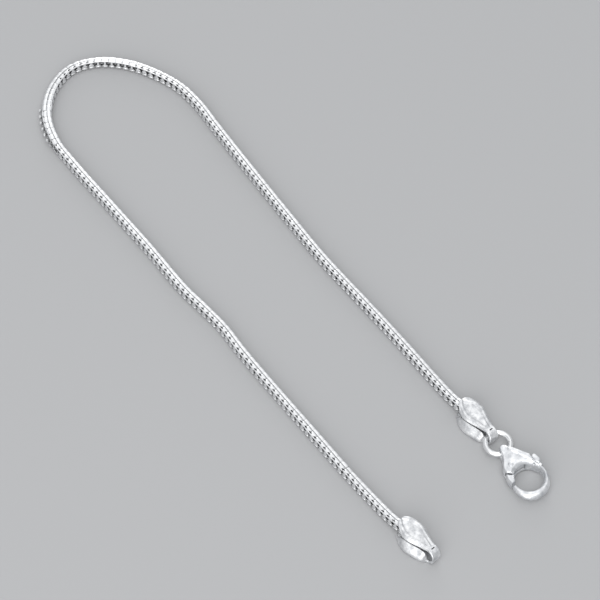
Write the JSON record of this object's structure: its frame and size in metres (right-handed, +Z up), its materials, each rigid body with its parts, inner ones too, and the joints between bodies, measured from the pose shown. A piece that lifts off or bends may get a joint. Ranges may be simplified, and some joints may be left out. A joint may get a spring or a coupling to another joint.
{
  "type": "snake chain bracelet",
  "caption": "Square snake chain bracelet lying open in a hairpin, with folded end caps, a jump ring and a sprung lobster clasp.",
  "frame": {"origin": "on the surface that the bracelet lies on, under the middle of the whole piece", "axes": "+X along the two legs towards the clasp end, +Y across from the free leg to the clasp's leg, +Z up"},
  "size_m": [0.0963, 0.0234, 0.0023],
  "materials": {
    "chain_silver": "polished silver, small link faces with dark gaps",
    "cap_silver": "burnished silver sheet",
    "wire_silver": "polished silver wire",
    "clasp_silver": "cast and tumbled silver"
  },
  "bodies": {
    "root": {"chain": "chain_silver", "end_cap_clasp_side": "cap_silver", "end_cap_free_end": "cap_silver", "jump_ring": "wire_silver", "clasp_body": "clasp_silver", "clasp_pin": "wire_silver"},
    "lever": {"clasp_lever": "clasp_silver"}
  },
  "joints": [
    {"name": "clasp_lever_hinge", "type": "hinge", "parent": "root", "child": "lever", "pos_m": [0.04233, 0.0078, 0.00115], "axis": [0, 0, 1], "range_deg": [0, 26], "stiffness_Nm_per_rad": 0.004}
  ]
}
